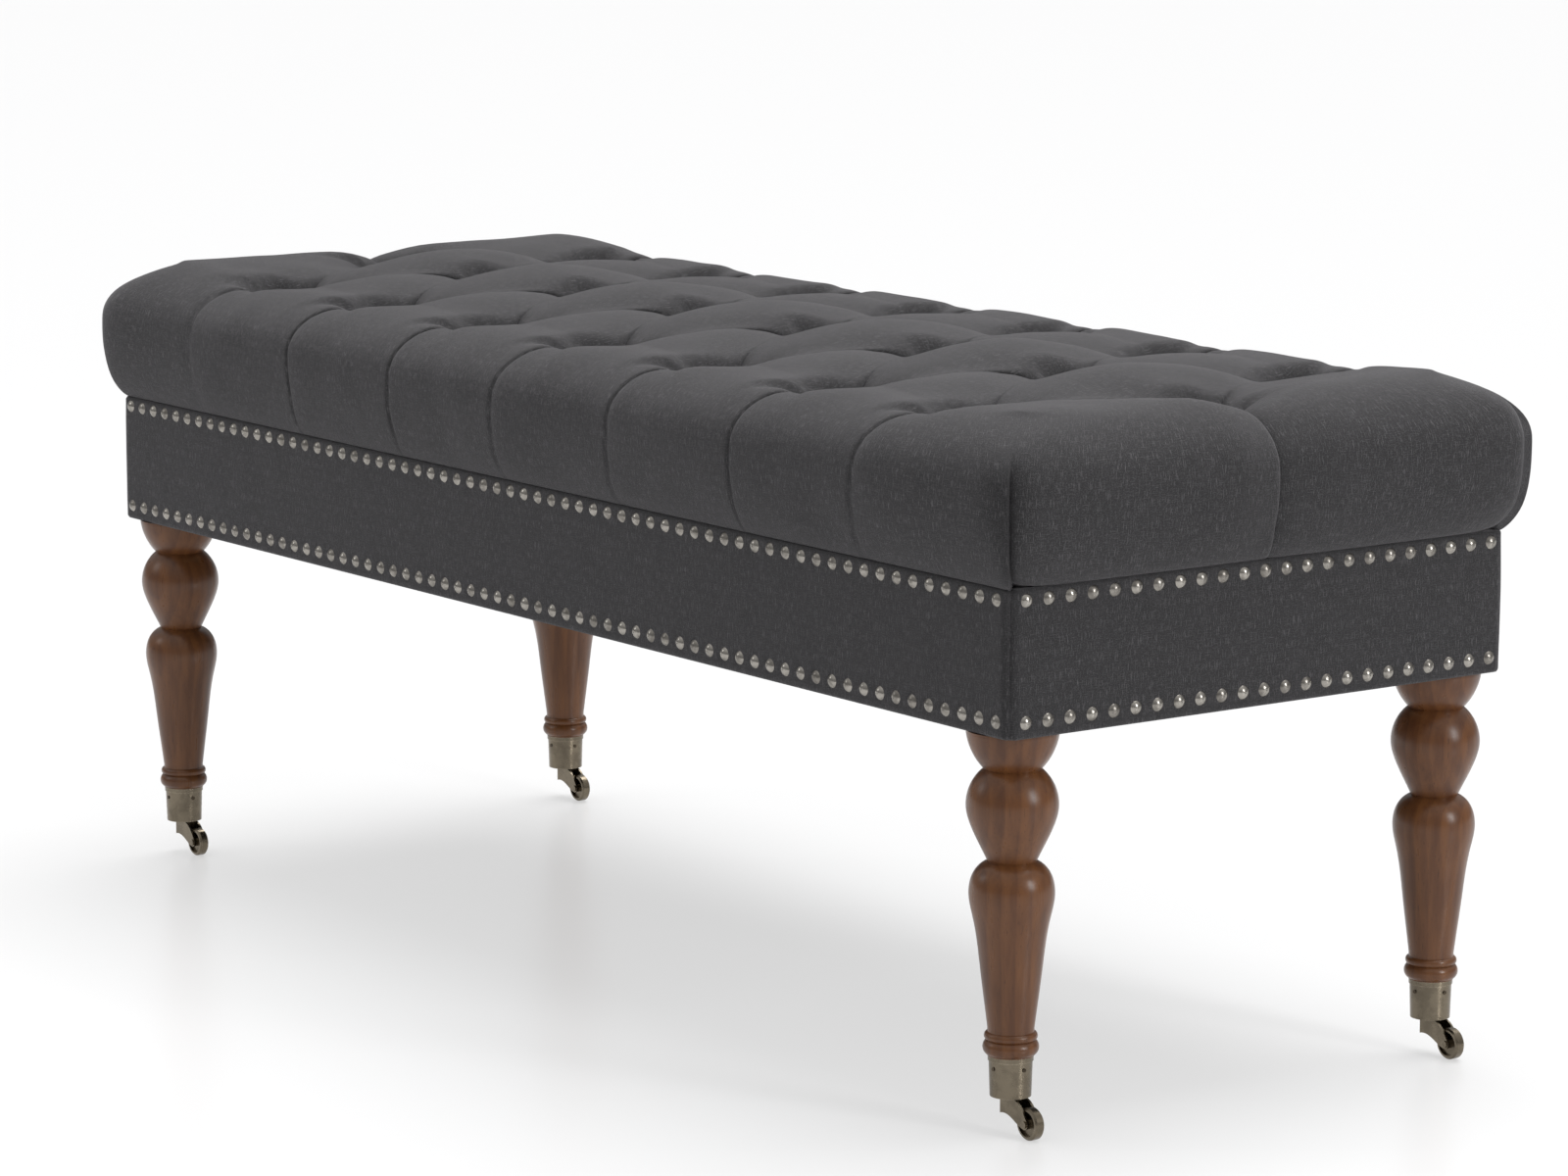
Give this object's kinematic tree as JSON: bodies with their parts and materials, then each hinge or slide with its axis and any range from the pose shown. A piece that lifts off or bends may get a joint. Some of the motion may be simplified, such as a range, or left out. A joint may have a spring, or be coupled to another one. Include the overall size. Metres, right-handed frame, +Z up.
{
  "type": "upholstered bench",
  "caption": "Long upholstered bench with a deep diamond-tufted seat, nail-trimmed apron, turned wooden legs and swivelling brass castors.",
  "frame": {"origin": "on the floor under the middle of the bench", "axes": "+X along the bench towards its right end, +Y from front to back, +Z up"},
  "size_m": [1.2812, 0.5002, 0.517],
  "materials": {
    "upholstery": "woven linen-look cloth, matt, charcoal grey",
    "foam": "open-cell upholstery foam",
    "dust_cloth": "black non-woven cloth",
    "frame_wood": "raw sawn hardwood",
    "dowel_wood": "fluted beech",
    "plywood": "raw plywood",
    "leg_wood": "turned, stained walnut brown, satin lacquer",
    "twine": "waxed twine",
    "nail_heads": "antique nickel, domed and polished",
    "castor_brass": "antique brass, dulled",
    "castor_nails": "darkened brass",
    "steel": "zinc plated"
  },
  "bodies": {
    "root": {"apron_cover_back": "upholstery", "apron_cover_front": "upholstery", "apron_cover_left": "upholstery", "apron_cover_right": "upholstery", "back_rail": "frame_wood", "block_screws": "steel", "castor_cup_back_left": "castor_brass", "castor_cup_back_right": "castor_brass", "castor_cup_front_left": "castor_brass", "castor_cup_front_right": "castor_brass", "corner_block_back_left": "frame_wood", "corner_block_back_right": "frame_wood", "corner_block_front_left": "frame_wood", "corner_block_front_right": "frame_wood", "cross_brace_left": "frame_wood", "cross_brace_right": "frame_wood", "cup_nails": "castor_nails", "deck_screws": "steel", "dust_cover": "dust_cloth", "front_rail": "frame_wood", "left_rail": "frame_wood", "leg_back_left": "leg_wood", "leg_back_right": "leg_wood", "leg_bolts": "steel", "leg_front_left": "leg_wood", "leg_front_right": "leg_wood", "leg_inserts": "steel", "nails_back": "nail_heads", "nails_front": "nail_heads", "nails_left": "nail_heads", "nails_right": "nail_heads", "rail_dowels": "dowel_wood", "right_rail": "frame_wood", "seat_cover": "upholstery", "seat_deck": "plywood", "seat_foam": "foam", "tuft_buttons": "upholstery", "tuft_ties": "twine", "tuft_washers": "steel"},
    "fork_front_left": {"castor_fork_front_left": "castor_brass", "swivel_pin_front_left": "steel", "castor_axle_front_left": "castor_brass"},
    "wheel_front_left": {"castor_wheel_front_left": "castor_brass"},
    "fork_front_right": {"castor_fork_front_right": "castor_brass", "swivel_pin_front_right": "steel", "castor_axle_front_right": "castor_brass"},
    "wheel_front_right": {"castor_wheel_front_right": "castor_brass"},
    "fork_back_left": {"castor_fork_back_left": "castor_brass", "swivel_pin_back_left": "steel", "castor_axle_back_left": "castor_brass"},
    "wheel_back_left": {"castor_wheel_back_left": "castor_brass"},
    "fork_back_right": {"castor_fork_back_right": "castor_brass", "swivel_pin_back_right": "steel", "castor_axle_back_right": "castor_brass"},
    "wheel_back_right": {"castor_wheel_back_right": "castor_brass"}
  },
  "joints": [
    {"name": "swivel_front_left", "type": "hinge", "parent": "root", "child": "fork_front_left", "pos_m": [-0.5855, -0.1996, 0.0277], "axis": [0, 0, 1], "continuous": true},
    {"name": "roll_front_left", "type": "hinge", "parent": "fork_front_left", "child": "wheel_front_left", "pos_m": [-0.5621, -0.1996, 0.0118], "axis": [0, 1, 0], "continuous": true},
    {"name": "swivel_front_right", "type": "hinge", "parent": "root", "child": "fork_front_right", "pos_m": [0.5855, -0.1996, 0.0277], "axis": [0, 0, 1], "continuous": true},
    {"name": "roll_front_right", "type": "hinge", "parent": "fork_front_right", "child": "wheel_front_right", "pos_m": [0.6089, -0.1996, 0.0118], "axis": [0, 1, 0], "continuous": true},
    {"name": "swivel_back_left", "type": "hinge", "parent": "root", "child": "fork_back_left", "pos_m": [-0.5855, 0.1996, 0.0277], "axis": [0, 0, 1], "continuous": true},
    {"name": "roll_back_left", "type": "hinge", "parent": "fork_back_left", "child": "wheel_back_left", "pos_m": [-0.5621, 0.1996, 0.0118], "axis": [0, 1, 0], "continuous": true},
    {"name": "swivel_back_right", "type": "hinge", "parent": "root", "child": "fork_back_right", "pos_m": [0.5855, 0.1996, 0.0277], "axis": [0, 0, 1], "continuous": true},
    {"name": "roll_back_right", "type": "hinge", "parent": "fork_back_right", "child": "wheel_back_right", "pos_m": [0.6089, 0.1996, 0.0118], "axis": [0, 1, 0], "continuous": true}
  ]
}
